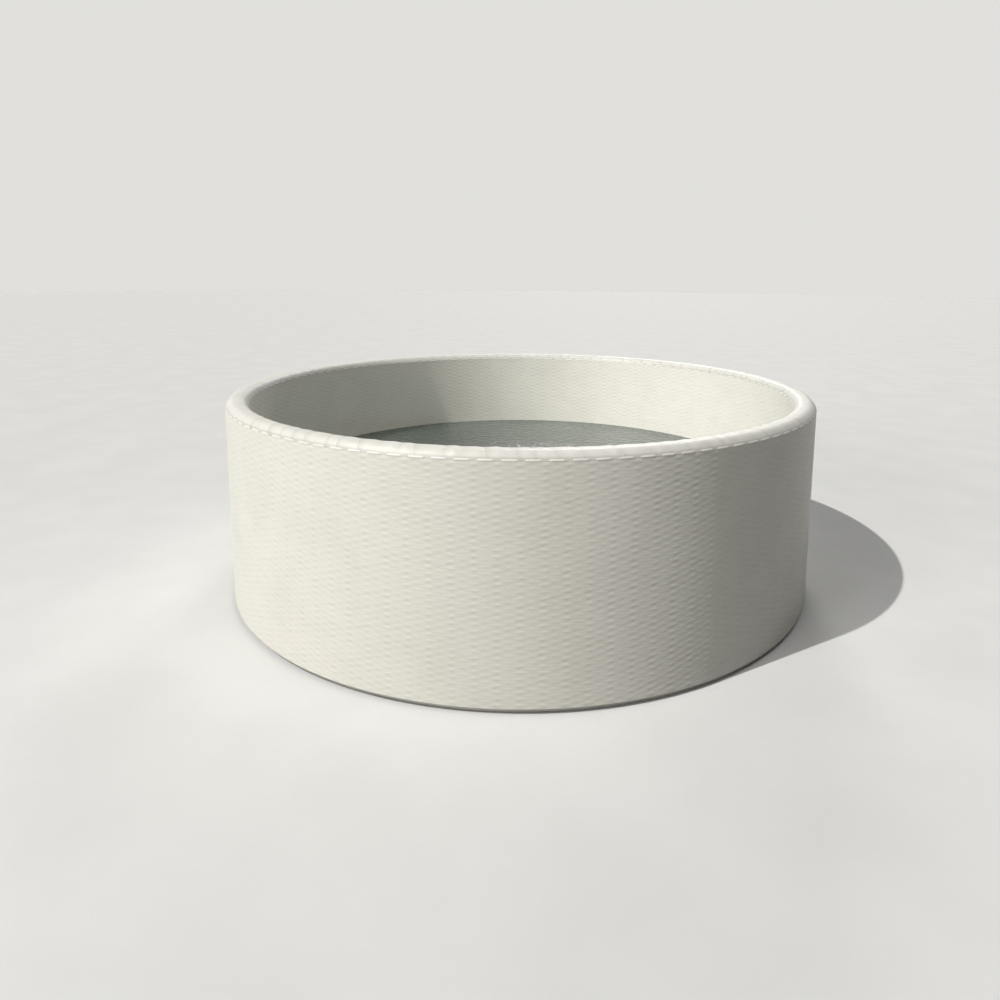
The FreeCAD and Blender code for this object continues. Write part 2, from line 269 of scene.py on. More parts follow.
liner_low, liner_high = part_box("floor_liner")
liner_radius = liner_high.x
weld_width = 0.03
weld_sink = 0.0004
liner_cloth = cloth_finish("liner_cloth", (0.50, 0.53, 0.50), (0.58, 0.60, 0.57), 0.4)
liner = piece_of("floor_liner_cloth", lathe([
    (0.0, liner_low.z),
    (liner_radius, liner_low.z),
    (liner_radius, liner_high.z - weld_sink),
    (liner_radius - weld_width, liner_high.z - weld_sink),
    (liner_radius - weld_width - weld_sink, liner_high.z),
    (0.0, liner_high.z),
], 180), liner_cloth)
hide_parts("floor_liner")


# Wall skins: the two faces of the drop-stitch panel, embossed like flat basket weave.
# Long strands run level round the wall, each tucks under every 63 mm, and each row
# is set half a strand along from the one below.

wall_radius = 1.15
inside_radius = 1.07
wall_middle = (wall_radius + inside_radius) / 2
strands_round = 114
strand_length = 2 * math.pi * wall_radius / strands_round
strand_rows = 72
columns_per_strand = 8
tuck_depth = 0.0004
tuck_half_width = 0.020
tuck_share = tuck_half_width / strand_length


def shape_tree(name, inputs):
    """An empty shape tree with its named inputs."""
    tree = bpy.data.node_groups.new(name, "GeometryNodeTree")
    for label, kind, value in inputs:
        socket = tree.interface.new_socket(label, in_out="INPUT", socket_type=kind)
        if value is not None:
            socket.default_value = value
    tree.interface.new_socket("Geometry", in_out="OUTPUT", socket_type="NodeSocketGeometry")
    return tree, tree.nodes.new("NodeGroupInput").outputs, tree.nodes.new("NodeGroupOutput").inputs


def step_of(tree, kind, *values):
    """One node, with its inputs fed in order."""
    node = tree.nodes.new(kind)
    for value, socket in zip(values, node.inputs):
        join(tree, value, socket)
    return node


def strand_at(tree, along, strands, row):
    """Where a place lies on its strand, the parity of its row and the strand's own chance."""
    parity = calc(tree, "MODULO", row, 2.0)
    offset = calc(tree, "MULTIPLY", parity, 0.5)
    run = calc(tree, "ADD", calc(tree, "MULTIPLY", along, strands), offset)
    cell = step_of(tree, "ShaderNodeCombineXYZ", calc(tree, "FLOOR", run), row, 0.0)
    chance = tree.nodes.new("ShaderNodeTexWhiteNoise")
    tree.links.new(cell.outputs[0], chance.inputs["Vector"])
    phase = calc(tree, "SUBTRACT", calc(tree, "FRACT", run), 0.5)
    return phase, parity, chance.outputs["Value"]


def put_out(tree, geometry, given, out):
    """The end of a shape tree: every copy made real and given the material."""
    real = step_of(tree, "GeometryNodeRealizeInstances", geometry)
    finished = tree.nodes.new("GeometryNodeSetMaterial")
    tree.links.new(real.outputs[0], finished.inputs["Geometry"])
    tree.links.new(given["Material"], finished.inputs["Material"])
    tree.links.new(finished.outputs["Geometry"], out["Geometry"])


def woven_skin_tree():
    """A ring of strands from a flat grid: rolled up, tucked in and closed."""
    tree, given, out = shape_tree("woven_skin", [
        ("Radius", "NodeSocketFloat", wall_radius),
        ("Low", "NodeSocketFloat", 0.0),
        ("High", "NodeSocketFloat", 0.7),
        ("Strands", "NodeSocketInt", strands_round),
        ("Columns", "NodeSocketInt", strands_round * columns_per_strand + 1),
        ("Rows", "NodeSocketInt", strand_rows + 1),
        ("Tuck", "NodeSocketFloat", tuck_depth),
        ("Tuck share", "NodeSocketFloat", tuck_share),
        ("Outward", "NodeSocketFloat", 1.0),
        ("Material", "NodeSocketMaterial", None),
    ])
    grid = step_of(tree, "GeometryNodeMeshGrid", 1.0, 1.0, given["Columns"], given["Rows"])
    at = tree.nodes.new("ShaderNodeSeparateXYZ")
    tree.links.new(tree.nodes.new("GeometryNodeInputPosition").outputs[0], at.inputs[0])
    along = calc(tree, "ADD", at.outputs[0], 0.5)
    up = calc(tree, "ADD", at.outputs[1], 0.5)
    row = calc(tree, "ROUND", calc(tree, "MULTIPLY", up, calc(tree, "SUBTRACT", given["Rows"], 1.0)))
    phase, parity, chance = strand_at(tree, along, given["Strands"], row)
    near_tuck = calc(tree, "ABSOLUTE", phase)
    tuck = fade(tree, near_tuck, 0.0, given["Tuck share"], 1.0, 0.0)
    crest = fade(tree, calc(tree, "SUBTRACT", 0.5, near_tuck), 0.0, given["Tuck share"], 1.0, 0.0)
    own_depth = calc(tree, "MULTIPLY_ADD", chance, 0.4, 0.6)
    own_depth = calc(tree, "SUBTRACT", own_depth, calc(tree, "MULTIPLY", parity, 0.45))
    crest_rise = calc(tree, "MULTIPLY_ADD", parity, 0.45, 0.3)
    sunk = calc(tree, "MULTIPLY", tuck, own_depth)
    sunk = calc(tree, "SUBTRACT", sunk, calc(tree, "MULTIPLY", crest, crest_rise))
    sunk = calc(tree, "MULTIPLY", sunk, given["Tuck"])
    sunk = calc(tree, "MULTIPLY", sunk, given["Outward"])
    radius = calc(tree, "SUBTRACT", given["Radius"], sunk)
    angle = calc(tree, "MULTIPLY", along, 2 * math.pi)
    tall = calc(tree, "SUBTRACT", given["High"], given["Low"])
    height = calc(tree, "ADD", given["Low"], calc(tree, "MULTIPLY", up, tall))
    rolled = step_of(
        tree, "ShaderNodeCombineXYZ",
        calc(tree, "MULTIPLY", radius, calc(tree, "COSINE", angle)),
        calc(tree, "MULTIPLY", radius, calc(tree, "SINE", angle)),
        height,
    )
    flat = step_of(tree, "ShaderNodeCombineXYZ", along, up, 0.0)
    stored = tree.nodes.new("GeometryNodeStoreNamedAttribute")
    stored.data_type = "FLOAT2"
    stored.domain = "CORNER"
    stored.inputs["Name"].default_value = "weave"
    tree.links.new(grid.outputs["Mesh"], stored.inputs["Geometry"])
    value = [s for s in stored.inputs if s.name == "Value" and s.enabled][0]
    tree.links.new(flat.outputs[0], value)
    moved = tree.nodes.new("GeometryNodeSetPosition")
    tree.links.new(stored.outputs["Geometry"], moved.inputs["Geometry"])
    tree.links.new(rolled.outputs[0], moved.inputs["Position"])
    closed = tree.nodes.new("GeometryNodeMergeByDistance")
    closed.inputs["Distance"].default_value = 0.00001
    tree.links.new(moved.outputs["Geometry"], closed.inputs["Geometry"])
    turned_in = tree.nodes.new("GeometryNodeFlipFaces")
    inward = tree.nodes.new("FunctionNodeCompare")
    inward.operation = "LESS_THAN"
    tree.links.new(given["Outward"], inward.inputs["A"])
    inward.inputs["B"].default_value = 0.0
    tree.links.new(inward.outputs[0], turned_in.inputs["Selection"])
    tree.links.new(closed.outputs["Geometry"], turned_in.inputs["Mesh"])
    smooth = step_of(tree, "GeometryNodeSetShadeSmooth", turned_in.outputs["Mesh"])
    put_out(tree, smooth.outputs[0], given, out)
    return tree


def grown(name, tree, body, slot_name, **values):
    """A shape tree with its inputs set, turned into a plain mesh that rides on a body."""
    seed = bpy.data.objects.new(name + "_seed", bpy.data.meshes.new(name + "_seed"))
    scene.collection.objects.link(seed)
    modifier = seed.modifiers.new("shape", "NODES")
    modifier.node_group = tree
    sockets = {
        item.name: item.identifier
        for item in tree.interface.items_tree if getattr(item, "in_out", "") == "INPUT"
    }
    for label, value in values.items():
        modifier[sockets[label.replace("_", " ")]] = value
    depsgraph = bpy.context.evaluated_depsgraph_get()
    mesh = bpy.data.meshes.new_from_object(seed.evaluated_get(depsgraph), depsgraph=depsgraph)
    mesh.name = name
    seed.modifiers.remove(modifier)
    bpy.data.objects.remove(seed)
    piece = bpy.data.objects.new(name, mesh)
    scene.collection.objects.link(piece)
    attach(piece, body)
    return piece


def strand_effect():
    """The weave's relief: rounded rows and tucked ends, with a mask of painted shade in the tucks, from the
    cloth's own map.
    """
    tree, given, out = effect(
        "strand_weave",
        [
            ("Map", "NodeSocketVector", None),
            ("Place", "NodeSocketVector", None),
            ("Strands", "NodeSocketFloat", float(strands_round)),
            ("Rows", "NodeSocketFloat", float(strand_rows)),
        ],
        [("Height", "NodeSocketFloat"), ("Painted tuck shade", "NodeSocketFloat"), ("Tone", "NodeSocketFloat")],
    )
    split = tree.nodes.new("ShaderNodeSeparateXYZ")
    tree.links.new(given["Map"], split.inputs[0])
    wobble = calc(tree, "MULTIPLY_ADD", noise(tree, given["Place"], 11.0, 2.0), 0.4, 0.3)
    level = calc(tree, "MULTIPLY_ADD", split.outputs[1], given["Rows"], wobble)
    row = calc(tree, "FLOOR", level)
    across = calc(tree, "MULTIPLY", calc(tree, "FRACT", level), 2.0)
    across = calc(tree, "ABSOLUTE", calc(tree, "SUBTRACT", across, 1.0))
    phase, parity, chance = strand_at(tree, split.outputs[0], given["Strands"], row)
    crown = calc(tree, "SUBTRACT", 1.0, calc(tree, "POWER", across, 4.0))
    round_section = calc(tree, "COSINE", calc(tree, "MULTIPLY", across, math.pi / 2))
    shift = calc(tree, "MULTIPLY", calc(tree, "SUBTRACT", chance, 0.5), 0.14)
    tuck = fade(tree, calc(tree, "ABSOLUTE", calc(tree, "ADD", phase, shift)), 0.0, 0.26, 1.0, 0.0)
    crest = fade(tree, calc(tree, "ABSOLUTE", phase), 0.24, 0.5)
    own_depth = calc(tree, "MULTIPLY_ADD", chance, 0.8, 0.35)
    own_depth = calc(tree, "SUBTRACT", own_depth, calc(tree, "MULTIPLY", parity, 0.35))
    crest_rise = calc(tree, "MULTIPLY_ADD", parity, 0.35, 0.35)
    sunk = calc(tree, "MULTIPLY", tuck, own_depth)
    stands = calc(tree, "SUBTRACT", calc(tree, "MULTIPLY", crest, crest_rise), sunk)
    stands = calc(tree, "MULTIPLY", stands, round_section)
    join(tree, calc(tree, "MULTIPLY", sunk, round_section), out["Painted tuck shade"])
    stands = calc(tree, "MULTIPLY_ADD", noise(tree, given["Place"], 70.0, 2.0), 0.7, stands)
    join(tree, calc(tree, "MULTIPLY_ADD", crown, 0.2, stands), out["Height"])
    join(tree, chance, out["Tone"])
    return tree


strand_weave = strand_effect()


def woven_finish(name, pale, shade, roughness):
    """Warm white coated cloth with the strands' relief and painted shade in the tucks."""
    material, tree, shader, place = finish_of(name)
    own_map = tree.nodes.new("ShaderNodeUVMap")
    own_map.uv_map = "weave"
    weave = placed(tree, strand_weave, Map=own_map.outputs[0], Place=place)
    cloth = placed(tree, coated_cloth, Place=place)
    # The tucks are painted darker: painted shade in the hollows of the weave.
    mask = calc(tree, "MULTIPLY", weave["Painted tuck shade"], 0.07)
    mask = calc(tree, "ADD", mask, calc(tree, "MULTIPLY", weave["Tone"], 0.05))
    mask = calc(tree, "ADD", mask, calc(tree, "MULTIPLY", fade(tree, cloth["Cloud"], 0.4, 0.7), 0.08))
    coloured(tree, shader, mask, pale, shade)
    dulled(tree, shader, cloth["Gloss"], roughness - 0.04, roughness + 0.04)
    height = calc(tree, "ADD", weave["Height"], calc(tree, "MULTIPLY", cloth["Height"], 0.04))
    raised(tree, shader, height, 0.0005)
    return material


wall_cloth = woven_finish("woven_wall_cloth", (0.875, 0.86, 0.775), (0.50, 0.485, 0.425), 0.46)
# The inner skin is the same cloth as the outer one, painted lighter: painted light on the inside of the
# wall.
inner_cloth = woven_finish("woven_inner_cloth", (0.92, 0.905, 0.82), (0.55, 0.535, 0.47), 0.46)
woven_skin = woven_skin_tree()
skin_low, skin_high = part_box("outer_wall_skin")


def with_holes(piece, places, clear):
    """Cut the cloth away where a fitting passes through it, a little inside the fitting's flange."""
    bm = bmesh.new()
    bm.from_mesh(piece.data)
    gone = []
    for face in bm.faces:
        middle = face.calc_center_median()
        for way, height in places:
            side = middle.x * way.y - middle.y * way.x
            if middle.dot(way) > 0 and math.hypot(side, middle.z - height) < clear:
                gone.append(face)
                break
    bmesh.ops.delete(bm, geom=gone, context="FACES")
    bm.to_mesh(piece.data)
    bm.free()


def way_out(azimuth):
    """The level direction from the pool's axis at an azimuth."""
    return Vector((math.cos(math.radians(azimuth)), math.sin(math.radians(azimuth)), 0.0))


suction_way, suction_height = way_out(120), 0.120
return_way, return_height = way_out(60), 0.250
valve_way, valve_height = way_out(75), 0.600
ports = [(suction_way, suction_height), (return_way, return_height)]
hole_clear = 0.026

outer_skin = grown(
    "outer_wall_cloth", woven_skin, "pool", "woven_wall",
    Radius=wall_radius, Low=skin_low.z, High=skin_high.z, Outward=1.0, Material=wall_cloth,
)
with_holes(outer_skin, ports + [(valve_way, valve_height)], hole_clear)
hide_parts("outer_wall_skin")
wall_tall = skin_high.z - skin_low.z

inner_skin = grown(
    "inner_wall_cloth", woven_skin, "pool", "woven_wall",
    Radius=inside_radius, Low=skin_low.z, High=skin_high.z, Outward=-1.0, Material=inner_cloth,
)
with_holes(inner_skin, ports, hole_clear)
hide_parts("inner_wall_skin")


# Drop-stitch threads: polyester threads tie the two skins together so that the wall
# stays flat and even when it is blown up. They fill the whole air space.

def spread_round_tree():
    """Copies of one small shape set round the pool's axis in level rows, each turned to face out."""
    tree, given, out = shape_tree("spread_round", [
        ("Shape", "NodeSocketObject", None),
        ("Copies", "NodeSocketInt", strands_round),
        ("Rows", "NodeSocketInt", 1),
        ("Radius", "NodeSocketFloat", wall_radius),
        ("Low", "NodeSocketFloat", 0.0),
        ("Row height", "NodeSocketFloat", 0.0),
        ("Start share", "NodeSocketFloat", 0.0),
        ("Row shift share", "NodeSocketFloat", 0.0),
        ("Material", "NodeSocketMaterial", None),
    ])
    count = calc(tree, "MULTIPLY", given["Copies"], given["Rows"])
    points = tree.nodes.new("GeometryNodePoints")
    join(tree, count, points.inputs["Count"])
    index = tree.nodes.new("GeometryNodeInputIndex").outputs[0]
    row = calc(tree, "FLOOR", calc(tree, "DIVIDE", calc(tree, "ADD", index, 0.5), given["Copies"]))
    place = calc(tree, "SUBTRACT", index, calc(tree, "MULTIPLY", row, given["Copies"]))
    row_shift = calc(tree, "MULTIPLY", row, given["Row shift share"])
    place = calc(tree, "ADD", place, calc(tree, "ADD", given["Start share"], row_shift))
    angle = calc(tree, "MULTIPLY", calc(tree, "DIVIDE", place, given["Copies"]), 2 * math.pi)
    spot = step_of(
        tree, "ShaderNodeCombineXYZ",
        calc(tree, "MULTIPLY", given["Radius"], calc(tree, "COSINE", angle)),
        calc(tree, "MULTIPLY", given["Radius"], calc(tree, "SINE", angle)),
        calc(tree, "ADD", given["Low"], calc(tree, "MULTIPLY", row, given["Row height"])),
    )
    set_out = tree.nodes.new("GeometryNodeSetPosition")
    tree.links.new(points.outputs[0], set_out.inputs["Geometry"])
    tree.links.new(spot.outputs[0], set_out.inputs["Position"])
    turn = step_of(tree, "ShaderNodeCombineXYZ", 0.0, 0.0, angle)
    shape = tree.nodes.new("GeometryNodeObjectInfo")
    tree.links.new(given["Shape"], shape.inputs["Object"])
    copies = tree.nodes.new("GeometryNodeInstanceOnPoints")
    tree.links.new(set_out.outputs["Geometry"], copies.inputs["Points"])
    tree.links.new(shape.outputs["Geometry"], copies.inputs["Instance"])
    tree.links.new(turn.outputs[0], copies.inputs["Rotation"])
    put_out(tree, copies.outputs[0], given, out)
    return tree


spread_round = spread_round_tree()


def small_shape(name, bm, smooth=False):
    """A shape that only serves to be copied, kept out of the scene."""
    mesh = bpy.data.meshes.new(name)
    bm.to_mesh(mesh)
    bm.free()
    for face in mesh.polygons:
        face.use_smooth = smooth
    return bpy.data.objects.new(name, mesh)


thread_rows = 12
threads_round = 120
thread_half = 0.0006
thread_margin = 0.04
skin_thick = 0.0012
bm = bmesh.new()
bmesh.ops.create_cone(
    bm, cap_ends=True, segments=5, radius1=thread_half, radius2=thread_half,
    depth=wall_radius - inside_radius - 2 * skin_thick,
)
bmesh.ops.rotate(bm, verts=bm.verts, matrix=Matrix.Rotation(math.pi / 2, 3, "Y"))
thread_shape = small_shape("thread_shape", bm, True)
thread_finish, tree, shader, place = finish_of("stitch_thread")
coloured(tree, shader, noise(tree, place, 900.0), (0.62, 0.61, 0.57), (0.78, 0.77, 0.73))
shader.inputs["Roughness"].default_value = 0.7
threads = grown(
    "stitch_threads", spread_round, "pool", "drop_thread",
    Shape=thread_shape, Copies=threads_round, Rows=thread_rows, Radius=wall_middle,
    Low=skin_low.z + thread_margin, Row_height=(wall_tall - 2 * thread_margin) / (thread_rows - 1),
    Start_share=0.25, Row_shift_share=0.5, Material=thread_finish,
)
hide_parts("drop_stitch_threads")


# Rim band: a soft padded strip glued over the top edge of the wall, from seam to seam.
# Its cover is pressed into broad overlapping scales, one to each strand of the wall.

rim_low, rim_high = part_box("rim_band")
cover_rise = 0.0085
crown_radius = 0.026
crown_turn = math.radians(56)
seam_drop = rim_high.z - rim_low.z + cover_rise
crown_slope = seam_drop - crown_radius * (1 - math.cos(crown_turn))
crown_bevel = crown_slope / math.tan(crown_turn)
crown_reach = crown_bevel + crown_radius * math.sin(crown_turn)
scale_rise = 0.002
scale_climb = 0.6
scale_slant = 0.35
seam_hold = (0.0, 0.25)
# Heights above the seam of the band of painted shade on the rim cover.
seam_shade_low, seam_shade_high = 0.006, 0.013
rim_steps = strands_round * 10
round_points = 5


def crown_outline(seam_z, top_z):
    """The outside of the band from its outer seam over its crown to its inner seam."""
    half = []
    for index in range(round_points + 1):
        angle = crown_turn * (1 - index / round_points)
        half.append((
            wall_radius - crown_reach + crown_radius * math.sin(angle),
            top_z - crown_radius * (1 - math.cos(angle)),
        ))
    seam_lip = (wall_radius - crown_bevel * 0.25, seam_z + crown_slope * 0.45)
    outer_half = [(wall_radius, seam_z), seam_lip] + half
    inner_half = [(2 * wall_middle - radius, height) for radius, height in reversed(outer_half)]
    return outer_half + [(wall_middle, top_z)] + inner_half


def outline_normals(outline):
    """The outward direction at each point of a closed outline."""
    normals = []
    for index, (radius, height) in enumerate(outline):
        before, after = outline[index - 1], outline[(index + 1) % len(outline)]
        run, rise = after[0] - before[0], after[1] - before[1]
        size = math.hypot(run, rise)
        normals.append((rise / size, -run / size))
    return normals


def scales_along(angle, radius):
    """How many scales lie before a place on the rim: their edges slant, and no two are as long."""
    across = (radius - inside_radius) / (wall_radius - inside_radius)
    uneven = 0.14 * math.sin(37 * angle + 0.4) + 0.10 * math.sin(61 * angle)
    return angle / (2 * math.pi) * strands_round + uneven - scale_slant * across + 0.25


def scale_shift(radius, angle, index):
    """How a point stands out on its scale, which rises along the rim and drops at its end."""
    run = scales_along(angle, radius)
    scale = math.floor(run) % strands_round
    along = run % 1.0
    if along < scale_climb:
        slope = (along / scale_climb) ** 1.2
    else:
        slope = 0.5 + 0.5 * math.cos(math.pi * (along - scale_climb) / (1 - scale_climb))
    own = 0.5 + 0.5 * math.sin(2.4 * scale + 1.7 * math.sin(5.1 * scale))
    out = scale_rise * ((0.4 + 0.5 * own) * slope - 0.3)
    from_seam = min(index, len(rim_outline) - 1 - index)
    if from_seam < len(seam_hold):
        out *= seam_hold[from_seam]
    return out * rim_normals[index][0], out * rim_normals[index][1]


def cover_map(piece):
    """The cover's own map: scales along the rim in x, its width in y."""
    layer = piece.data.uv_layers.new(name="cover")
    verts, loops = piece.data.vertices, piece.data.loops
    for polygon in piece.data.polygons:
        places = [verts[loops[loop].vertex_index].co for loop in polygon.loop_indices]
        angles = [math.atan2(place.y, place.x) % (2 * math.pi) for place in places]
        wraps = max(angles) - min(angles) > math.pi
        for loop, place, angle in zip(polygon.loop_indices, places, angles):
            turn = angle + 2 * math.pi if wraps and angle < math.pi else angle
            radius = math.hypot(place.x, place.y)
            layer.data[loop].uv = (scales_along(turn, radius), radius)


def cover_finish(name, pale, shade, roughness):
    """Smooth coated cloth, a little different in tone from scale to scale, with fine steps, painted shadow
    after each step and painted shade along the seam.
    """
    material, tree, shader, place = finish_of(name)
    own_map = tree.nodes.new("ShaderNodeUVMap")
    own_map.uv_map = "cover"
    split = tree.nodes.new("ShaderNodeSeparateXYZ")
    tree.links.new(own_map.outputs[0], split.inputs[0])
    along = calc(tree, "FRACT", split.outputs[0])
    own_tone = tree.nodes.new("ShaderNodeTexWhiteNoise")
    own_tone.noise_dimensions = "1D"
    join(tree, calc(tree, "FLOOR", split.outputs[0]), own_tone.inputs["W"])
    strength = fade(tree, own_tone.outputs["Value"], 0.0, 1.0, 0.45, 1.0)
    fall = fade(tree, along, 0.86, 1.0, 1.0, 0.0)
    step = calc(tree, "MULTIPLY", fall, calc(tree, "MULTIPLY", along, strength))
    cloth = placed(tree, coated_cloth, Place=place)
    height = tree.nodes.new("ShaderNodeSeparateXYZ")
    tree.links.new(place, height.inputs[0])
    shade_low, shade_high = rim_low.z + seam_shade_low, rim_low.z + seam_shade_high
    # A band of painted shade along the foot of the cover, where the seam groove lies in shade.
    seam_shade = fade(tree, height.outputs["Z"], shade_low, shade_high, 0.6, 0.0)
    mask = calc(tree, "MULTIPLY_ADD", own_tone.outputs["Value"], 0.10, seam_shade)
    mask = calc(tree, "MULTIPLY_ADD", fade(tree, cloth["Cloud"], 0.35, 0.7), 0.12, mask)
    # Each scale is painted darker just after its step: painted shadow cast by the raised end of the scale
    # before it.
    mask = calc(tree, "MULTIPLY_ADD", fade(tree, along, 0.0, 0.45, 0.42, 0.0), strength, mask)
    coloured(tree, shader, mask, pale, shade)
    dulled(tree, shader, cloth["Gloss"], roughness - 0.04, roughness + 0.04)
    raised(tree, shader, calc(tree, "MULTIPLY_ADD", cloth["Height"], 0.10, step), 0.0006, 0.8)
    return material


# The rim cover is the wall's cloth painted darker: painted shade against the stronger light on its crown.
rim_cloth = cover_finish("rim_cover", (0.75, 0.74, 0.682), (0.525, 0.515, 0.47), 0.44)
rim_outline = crown_outline(rim_low.z, rim_high.z + cover_rise)
rim_normals = outline_normals(rim_outline)
rim = piece_of(
    "rim_band_cover", lathe(rim_outline, rim_steps, shift=scale_shift), rim_cloth
)
cover_map(rim)
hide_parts("rim_band")


# Rim seam: the cover's lower edge is caught down by a row of long flat welds, one to
# each strand, that lean back with the bevel of the rim on its outer and inner side.

weld_long = 0.047
weld_high = 0.0066
weld_proud = 0.0014
weld_rise = 0.0024
weld_lean = math.radians(30)
for name, way, radius in (("outer", 1, wall_radius), ("inner", -1, inside_radius)):
    bm = bmesh.new()
    bmesh.ops.create_uvsphere(bm, u_segments=12, v_segments=8, radius=0.5)
    for vert in bm.verts:
        long_share = math.copysign(abs(vert.co.y * 2) ** 0.5, vert.co.y) / 2
        high_share = math.copysign(abs(vert.co.z * 2) ** 0.6, vert.co.z) / 2
        vert.co = Vector((vert.co.x * 2 * weld_proud, long_share * weld_long, high_share * weld_high))
    bmesh.ops.rotate(bm, verts=bm.verts, matrix=Matrix.Rotation(-way * weld_lean, 3, "Y"))
    weld_shape = small_shape(name + "_weld_shape", bm, True)
    grown(
        name + "_rim_welds", spread_round, "pool", "rim_band",
        Shape=weld_shape, Copies=strands_round, Rows=1,
        Radius=radius - way * weld_rise * math.tan(weld_lean), Low=rim_low.z + weld_rise,
        Material=cloth_finish(name + "_weld_coat", (0.79, 0.78, 0.72), (0.85, 0.84, 0.78), 0.4),
    )


# Bottom band: the same cloth taken round the lower edge and welded under the wall.
# Its cloth is painted darker than the wall's: painted shade along the foot.

foot_low, foot_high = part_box("bottom_band")
foot_bevel = 0.020
foot_tall = foot_high.z - foot_low.z
foot_outline = [
    (wall_radius - foot_bevel * inset, foot_high.z - foot_tall * drop)
    for inset, drop in ((0.0, 0.0), (0.18, 0.45), (0.5, 0.8), (1.0, 1.0))
]
foot_outline += [(inside_radius + foot_bevel, foot_low.z), (inside_radius, foot_high.z)]
# The darker colour is painted shade where the wall turns under towards the floor.
foot_cloth = cloth_finish("foot_cloth", (0.60, 0.585, 0.53), (0.72, 0.70, 0.64), 0.5)
foot = piece_of("bottom_band_cloth", lathe(foot_outline, 250), foot_cloth)
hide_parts("bottom_band")


# Closing seam: where the two ends of the panel meet, a strip of plain cloth is glued
# over the join outside, and a stiff web closes the air space inside.

tape_low, tape_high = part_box("wall_closing_tape")
tape_half = math.asin((tape_high.x - tape_low.x) / 2 / wall_radius)
tape_proud = tape_high.y - wall_radius
tape_end_proud = 0.0002
tape_sunk = -0.0004
tape_steps = 12
bm = bmesh.new()
columns = []
for step in range(tape_steps + 1):
    angle = math.pi / 2 - tape_half + 2 * tape_half * step / tape_steps
    proud = tape_end_proud if step in (0, tape_steps) else tape_proud
    section = [
        (tape_sunk, tape_low.z), (proud, tape_low.z), (proud, tape_high.z), (tape_sunk, tape_high.z),
    ]
    columns.append([
        bm.verts.new(((wall_radius + out) * math.cos(angle), (wall_radius + out) * math.sin(angle), height))
        for out, height in section
    ])
skinned(bm, columns)
bm.faces.new(columns[0])
bm.faces.new(columns[-1])
bmesh.ops.recalc_face_normals(bm, faces=bm.faces)
tape_cloth = cloth_finish("tape_cloth", (0.82, 0.80, 0.73), (0.88, 0.86, 0.79), 0.4)
tape = piece_of("closing_tape_cloth", bm, tape_cloth)
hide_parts("wall_closing_tape")


def dressed(node, material):
    """Give a CAD node its finish."""
    mesh = nodes[node].data
    mesh.materials.clear()
    mesh.materials.append(material)


dressed("wall_closing_web", cloth_finish("web_cloth", (0.70, 0.69, 0.65), (0.78, 0.77, 0.73), 0.6))


# Water ports: moulded plastic fittings, solvent-welded and screwed together. Sleeves
# and gaskets take them through the air wall without a leak.

def moulded_effect():
    """The fine spark grain and faint flow marks of moulded plastic, with scuffs."""
    tree, given, out = effect(
        "moulded_plastic",
        [("Place", "NodeSocketVector", None), ("Grain", "NodeSocketFloat", 1600.0)],
        [("Height", "NodeSocketFloat"), ("Mark", "NodeSocketFloat"), ("Scuff", "NodeSocketFloat")],
    )
    fine = tree.nodes.new("ShaderNodeTexNoise")
    tree.links.new(given["Place"], fine.inputs["Vector"])
    tree.links.new(given["Grain"], fine.inputs["Scale"])
    join(tree, fine.outputs["Fac"], out["Height"])
    join(tree, noise(tree, given["Place"], 22.0, 4.0), out["Mark"])
    join(tree, fade(tree, noise(tree, given["Place"], 90.0, 6.0, 0.7), 0.56, 0.72), out["Scuff"])
    return tree


moulded = moulded_effect()


def plastic_finish(name, dark, light, roughness, depth=0.00012):
    """Moulded plastic of one colour, a little cloudy, duller where it is scuffed."""
    material, tree, shader, place = finish_of(name)
    surface = placed(tree, moulded, Place=place)
    coloured(tree, shader, fade(tree, surface["Mark"], 0.35, 0.65), dark, light)
    dulled(tree, shader, surface["Scuff"], roughness, roughness + 0.2)
    raised(tree, shader, surface["Height"], depth, 0.6)
    return material


grey_plastic = plastic_finish("grey_fitting_plastic", (0.085, 0.09, 0.095), (0.12, 0.125, 0.13), 0.34)
white_plastic = plastic_finish("white_valve_plastic", (0.60, 0.60, 0.575), (0.68, 0.68, 0.65), 0.32)
pale_plastic = plastic_finish("pale_gate_plastic", (0.50, 0.50, 0.47), (0.58, 0.58, 0.55), 0.45)
black_plastic = plastic_finish(
    "black_handle_plastic", (0.012, 0.012, 0.013), (0.022, 0.022, 0.023), 0.5, 0.0003
)
seal_rubber = plastic_finish("seal_rubber", (0.010, 0.010, 0.010), (0.02, 0.02, 0.02), 0.75, 0.0002)
for node in (
    "port_wall_sleeves", "port_bulkheads", "port_lock_nuts", "gate_valve_bonnets", "hose_tails",
    "suction_strainer", "return_nozzle",
):
    dressed(node, grey_plastic)
dressed("port_gaskets", seal_rubber)
dressed("gate_valve_bodies", white_plastic)
for node in ("suction_gate", "return_gate"):
    dressed(node, pale_plastic)
    dressed(node + "_handle", black_plastic)


# Bonnet screws: four small steel pan heads with a cross recess hold each bonnet down
# on its housing, one in each corner.

def steel_finish(name, dark, light, roughness):
    """Drawn steel with fine streaks in its shine."""
    material, tree, shader, place = finish_of(name)
    coloured(tree, shader, noise(tree, place, 700.0), dark, light)
    shader.inputs["Metallic"].default_value = 1.0
    streaks = fade(tree, noise(tree, place, 260.0), 0.3, 0.7, roughness, roughness + 0.15)
    join(tree, streaks, shader.inputs["Roughness"])
    return material


